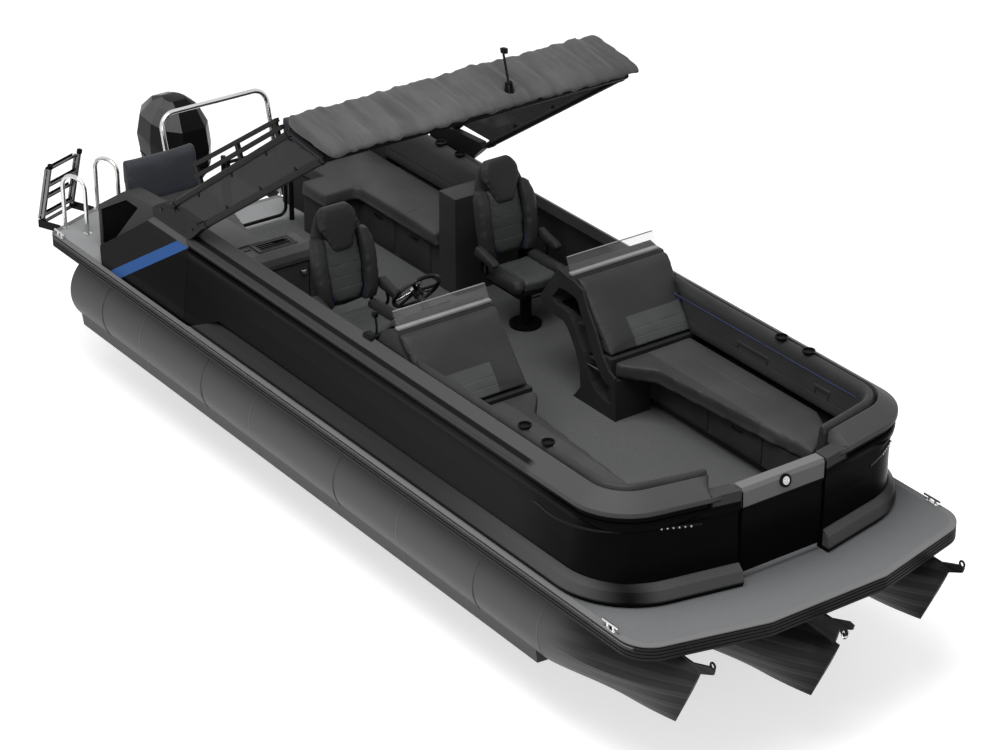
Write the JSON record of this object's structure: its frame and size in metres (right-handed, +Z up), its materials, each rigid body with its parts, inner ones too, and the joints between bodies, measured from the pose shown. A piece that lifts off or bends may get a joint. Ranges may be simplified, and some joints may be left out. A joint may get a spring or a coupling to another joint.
{
  "type": "pontoon boat",
  "caption": "Open pontoon boat on three tubes: fenced deck with lounges and chairs, raked arch with a rolled canopy, and an outboard engine.",
  "frame": {"origin": "on the waterline, on the boat's centre plane, 3.65 m aft of the deck's front edge", "axes": "+X to the bow, +Y to port, +Z up"},
  "size_m": [8.3, 2.59, 3.4019],
  "materials": {
    "tube_paint": "satin dark grey painted aluminium",
    "beam_metal": "mill finish",
    "deck_floor": "woven vinyl floor",
    "trim_paint": "ribbed satin black",
    "gloss_black": "gloss black panels",
    "satin_grey": "satin grey caps and lower skirt",
    "quarter_paint": "satin black with a blue stripe",
    "lamp_lens": "lamp lens",
    "upholstery": "charcoal marine vinyl",
    "seat_base": "moulded seat base",
    "console_plastic": "moulded console",
    "screen_glass": "tinted screen",
    "smoked_glass": "smoked panel",
    "chrome": "polished stainless steel",
    "black_tube": "black powder coat",
    "canvas": "charcoal canvas",
    "engine_paint": "faceted gloss black cowl",
    "engine_metal": "black painted casting",
    "wheel_rim": "moulded rim"
  },
  "bodies": {
    "boat": {"tube_starboard": "tube_paint", "tube_centre": "tube_paint", "tube_port": "tube_paint", "cross_beams": "beam_metal", "deck": "deck_floor", "deck_trim": "trim_paint", "fence_starboard": "gloss_black", "fence_port": "gloss_black", "lower_bands": "satin_grey", "rail_caps": "satin_grey", "quarter_panels": "quarter_paint", "bow_lounge_bases": "seat_base", "bow_seats": "upholstery", "bow_side_backs": "upholstery", "recliner_backs": "upholstery", "helm_console": "console_plastic", "port_console": "console_plastic", "windshields": "screen_glass", "chair_pedestals": "black_tube", "aft_lounge_base": "seat_base", "aft_seats": "upholstery", "aft_backs": "upholstery", "aft_cabinet": "console_plastic", "stern_boxes": "seat_base", "aft_gate_posts": "black_tube", "ladder_brackets": "black_tube", "stern_rails": "chrome", "transom_pod": "tube_paint", "clamp_bracket": "engine_metal", "arch_frame": "black_tube", "arch_panels": "smoked_glass", "canopy_boot": "canvas", "cleats": "chrome"},
    "gate": {"bow_gate": "gloss_black"},
    "rear_gate": {"aft_gate": "black_tube"},
    "wheel": {"steering_wheel": "wheel_rim"},
    "helm_seat": {"helm_chair": "upholstery"},
    "companion_seat": {"companion_chair": "upholstery"},
    "boarding_ladder": {"ladder": "chrome"},
    "swivel": {"swivel_bracket": "engine_metal"},
    "engine": {"engine_cowl": "engine_paint", "engine_leg": "engine_metal"},
    "prop": {"propeller": "engine_metal"},
    "mast": {"light_mast": "black_tube"}
  },
  "joints": [
    {"name": "engine_tilt", "type": "hinge", "parent": "boat", "child": "swivel", "pos_m": [-3.68, 0, 0.43], "axis": [0, 1, 0], "range_deg": [-6, 62]},
    {"name": "engine_steer", "type": "hinge", "parent": "swivel", "child": "engine", "pos_m": [-3.75, 0, 0.43], "axis": [0, 0, 1], "range_deg": [-30, 30]},
    {"name": "propeller_spin", "type": "hinge", "parent": "engine", "child": "prop", "pos_m": [-4.08, 0, -0.48], "axis": [1, 0, 0], "continuous": true},
    {"name": "wheel_turn", "type": "hinge", "parent": "boat", "child": "wheel", "pos_m": [0.28, -0.67, 1.43], "axis": [-0.8192, 0, 0.5736], "range_deg": [-720, 720]},
    {"name": "bow_gate_swing", "type": "hinge", "parent": "boat", "child": "gate", "pos_m": [3.069, -0.331, 0.54], "axis": [0, 0, 1], "range_deg": [0, 95]},
    {"name": "aft_gate_swing", "type": "hinge", "parent": "boat", "child": "rear_gate", "pos_m": [-2.79, -0.245, 0.54], "axis": [0, 0, 1], "range_deg": [-90, 0]},
    {"name": "helm_chair_swivel", "type": "hinge", "parent": "boat", "child": "helm_seat", "pos_m": [-0.35, -0.67, 0.846], "axis": [0, 0, 1], "continuous": true},
    {"name": "companion_chair_swivel", "type": "hinge", "parent": "boat", "child": "companion_seat", "pos_m": [-0.35, 0.67, 0.846], "axis": [0, 0, 1], "continuous": true},
    {"name": "ladder_fold", "type": "hinge", "parent": "boat", "child": "boarding_ladder", "pos_m": [-3.93543, -1.07756, 0.52], "axis": [0.3819, -0.9242, 0], "range_deg": [0, 175]},
    {"name": "light_mast_fold", "type": "hinge", "parent": "boat", "child": "mast", "pos_m": [0.024, 0.252, 2.575], "axis": [0, 1, 0], "range_deg": [0, 105]}
  ]
}
